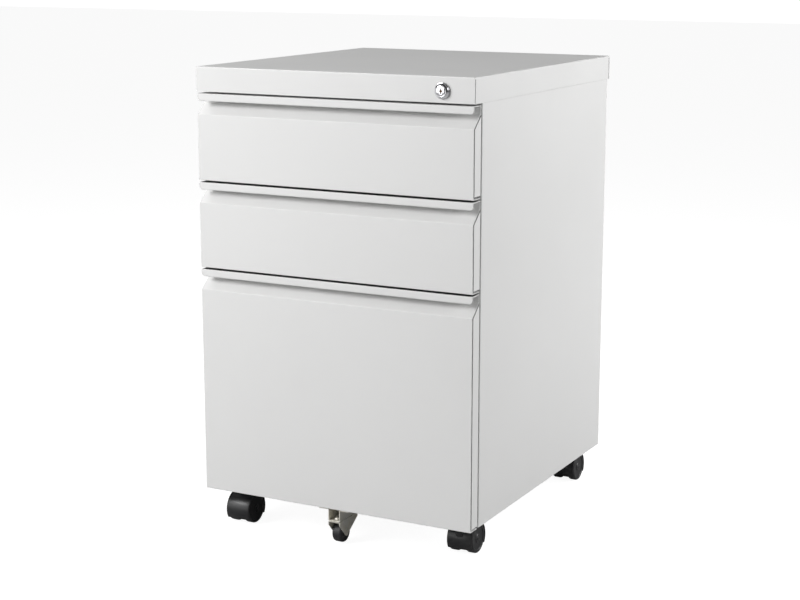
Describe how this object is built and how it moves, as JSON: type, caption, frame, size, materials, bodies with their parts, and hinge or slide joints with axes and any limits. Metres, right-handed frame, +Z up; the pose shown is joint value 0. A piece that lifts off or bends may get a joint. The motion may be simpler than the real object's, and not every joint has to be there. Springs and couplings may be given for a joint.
{
  "type": "mobile pedestal filing cabinet",
  "caption": "Steel mobile pedestal with two shallow drawers and a file drawer, lipped pulls, central lock, swivel castors and an anti-tilt wheel.",
  "frame": {"origin": "middle of the overall box on the floor, where the castor wheels stand", "axes": "+Z up, -Y towards the drawer fronts, +X to the right as seen from the front"},
  "size_m": [0.385, 0.435, 0.6],
  "materials": {
    "powder_coat": "fine-textured satin powder coat, pale grey-white",
    "chrome": "polished plate",
    "zinc_plate": "dull zinc plate, slightly warm",
    "black_plastic": "satin moulded nylon",
    "black_rubber": "dull"
  },
  "bodies": {
    "cabinet": {"top_cover": "powder_coat", "left_side_panel": "powder_coat", "right_side_panel": "powder_coat", "back_panel": "powder_coat", "bottom_panel": "powder_coat", "front_rail": "powder_coat", "lock_housing": "chrome", "bar_guide_upper": "zinc_plate", "bar_guide_lower": "zinc_plate", "upper_drawer_left_slide_outer": "zinc_plate", "upper_drawer_right_slide_outer": "zinc_plate", "middle_drawer_left_slide_outer": "zinc_plate", "middle_drawer_right_slide_outer": "zinc_plate", "file_drawer_left_slide_outer": "zinc_plate", "file_drawer_right_slide_outer": "zinc_plate", "front_left_caster_plate": "zinc_plate", "front_right_caster_plate": "zinc_plate", "rear_left_caster_plate": "zinc_plate", "rear_right_caster_plate": "zinc_plate"},
    "lock_plug": {"lock_plug": "chrome", "lock_rod": "zinc_plate"},
    "locking_bar": {"locking_bar": "zinc_plate"},
    "upper_drawer": {"upper_drawer_front_skin": "powder_coat", "upper_drawer_front_pan": "powder_coat", "upper_drawer_tray": "powder_coat", "upper_drawer_back_wall": "powder_coat", "upper_drawer_left_slide_inner": "zinc_plate", "upper_drawer_right_slide_inner": "zinc_plate"},
    "middle_drawer": {"middle_drawer_front_skin": "powder_coat", "middle_drawer_front_pan": "powder_coat", "middle_drawer_tray": "powder_coat", "middle_drawer_back_wall": "powder_coat", "middle_drawer_left_slide_inner": "zinc_plate", "middle_drawer_right_slide_inner": "zinc_plate"},
    "file_drawer": {"file_drawer_front_skin": "powder_coat", "file_drawer_front_pan": "powder_coat", "file_drawer_tray": "powder_coat", "file_drawer_back_wall": "powder_coat", "file_drawer_left_slide_inner": "zinc_plate", "file_drawer_right_slide_inner": "zinc_plate", "file_drawer_left_file_rail": "zinc_plate", "file_drawer_right_file_rail": "zinc_plate", "anti_tilt_bracket": "zinc_plate", "anti_tilt_fork": "zinc_plate", "anti_tilt_axle": "zinc_plate"},
    "file_slide_middles": {"file_drawer_left_slide_middle": "zinc_plate", "file_drawer_right_slide_middle": "zinc_plate"},
    "anti_tilt_wheel": {"anti_tilt_wheel": "black_rubber"},
    "front_left_swivel": {"front_left_caster_hood": "black_plastic"},
    "front_left_wheel_left": {"front_left_caster_wheel_left": "black_plastic"},
    "front_left_wheel_right": {"front_left_caster_wheel_right": "black_plastic"},
    "front_right_swivel": {"front_right_caster_hood": "black_plastic"},
    "front_right_wheel_left": {"front_right_caster_wheel_left": "black_plastic"},
    "front_right_wheel_right": {"front_right_caster_wheel_right": "black_plastic"},
    "rear_left_swivel": {"rear_left_caster_hood": "black_plastic"},
    "rear_left_wheel_left": {"rear_left_caster_wheel_left": "black_plastic"},
    "rear_left_wheel_right": {"rear_left_caster_wheel_right": "black_plastic"},
    "rear_right_swivel": {"rear_right_caster_hood": "black_plastic"},
    "rear_right_wheel_left": {"rear_right_caster_wheel_left": "black_plastic"},
    "rear_right_wheel_right": {"rear_right_caster_wheel_right": "black_plastic"}
  },
  "joints": [
    {"name": "lock_turn", "type": "hinge", "parent": "cabinet", "child": "lock_plug", "pos_m": [0.151, -0.2125, 0.583], "axis": [0, -1, 0], "range_deg": [0, 90]},
    {"name": "bar_lift", "type": "slide", "parent": "cabinet", "child": "locking_bar", "axis": [0, 0, 1], "range_m": [0, 0.0113]},
    {"name": "upper_drawer_slide", "type": "slide", "parent": "cabinet", "child": "upper_drawer", "axis": [0, -1, 0], "range_m": [0, 0.27]},
    {"name": "middle_drawer_slide", "type": "slide", "parent": "cabinet", "child": "middle_drawer", "axis": [0, -1, 0], "range_m": [0, 0.27]},
    {"name": "file_drawer_slide", "type": "slide", "parent": "cabinet", "child": "file_drawer", "axis": [0, -1, 0], "range_m": [0, 0.36]},
    {"name": "file_slide_middle_run", "type": "slide", "parent": "cabinet", "child": "file_slide_middles", "axis": [0, -1, 0], "range_m": [0, 0.18]},
    {"name": "anti_tilt_wheel_spin", "type": "hinge", "parent": "file_drawer", "child": "anti_tilt_wheel", "pos_m": [0, -0.1925, 0.015], "axis": [1, 0, 0], "continuous": true},
    {"name": "front_left_swivel_turn", "type": "hinge", "parent": "cabinet", "child": "front_left_swivel", "pos_m": [-0.154, -0.1605, 0.04], "axis": [0, 0, 1], "continuous": true},
    {"name": "front_left_wheel_left_roll", "type": "hinge", "parent": "front_left_swivel", "child": "front_left_wheel_left", "pos_m": [-0.154, -0.1765, 0.019], "axis": [1, 0, 0], "continuous": true},
    {"name": "front_left_wheel_right_roll", "type": "hinge", "parent": "front_left_swivel", "child": "front_left_wheel_right", "pos_m": [-0.154, -0.1765, 0.019], "axis": [1, 0, 0], "continuous": true},
    {"name": "front_right_swivel_turn", "type": "hinge", "parent": "cabinet", "child": "front_right_swivel", "pos_m": [0.154, -0.1605, 0.04], "axis": [0, 0, 1], "continuous": true},
    {"name": "front_right_wheel_left_roll", "type": "hinge", "parent": "front_right_swivel", "child": "front_right_wheel_left", "pos_m": [0.154, -0.1445, 0.019], "axis": [1, 0, 0], "continuous": true},
    {"name": "front_right_wheel_right_roll", "type": "hinge", "parent": "front_right_swivel", "child": "front_right_wheel_right", "pos_m": [0.154, -0.1445, 0.019], "axis": [1, 0, 0], "continuous": true},
    {"name": "rear_left_swivel_turn", "type": "hinge", "parent": "cabinet", "child": "rear_left_swivel", "pos_m": [-0.154, 0.1755, 0.04], "axis": [0, 0, 1], "continuous": true},
    {"name": "rear_left_wheel_left_roll", "type": "hinge", "parent": "rear_left_swivel", "child": "rear_left_wheel_left", "pos_m": [-0.154, 0.1915, 0.019], "axis": [1, 0, 0], "continuous": true},
    {"name": "rear_left_wheel_right_roll", "type": "hinge", "parent": "rear_left_swivel", "child": "rear_left_wheel_right", "pos_m": [-0.154, 0.1915, 0.019], "axis": [1, 0, 0], "continuous": true},
    {"name": "rear_right_swivel_turn", "type": "hinge", "parent": "cabinet", "child": "rear_right_swivel", "pos_m": [0.154, 0.1755, 0.04], "axis": [0, 0, 1], "continuous": true},
    {"name": "rear_right_wheel_left_roll", "type": "hinge", "parent": "rear_right_swivel", "child": "rear_right_wheel_left", "pos_m": [0.154, 0.1915, 0.019], "axis": [1, 0, 0], "continuous": true},
    {"name": "rear_right_wheel_right_roll", "type": "hinge", "parent": "rear_right_swivel", "child": "rear_right_wheel_right", "pos_m": [0.154, 0.1915, 0.019], "axis": [1, 0, 0], "continuous": true}
  ],
  "couplings": [
    {"joint": "lock_turn", "follows": "bar_lift", "rad_per_m": 138.89},
    {"joint": "file_slide_middle_run", "follows": "file_drawer_slide", "ratio": 0.5}
  ]
}
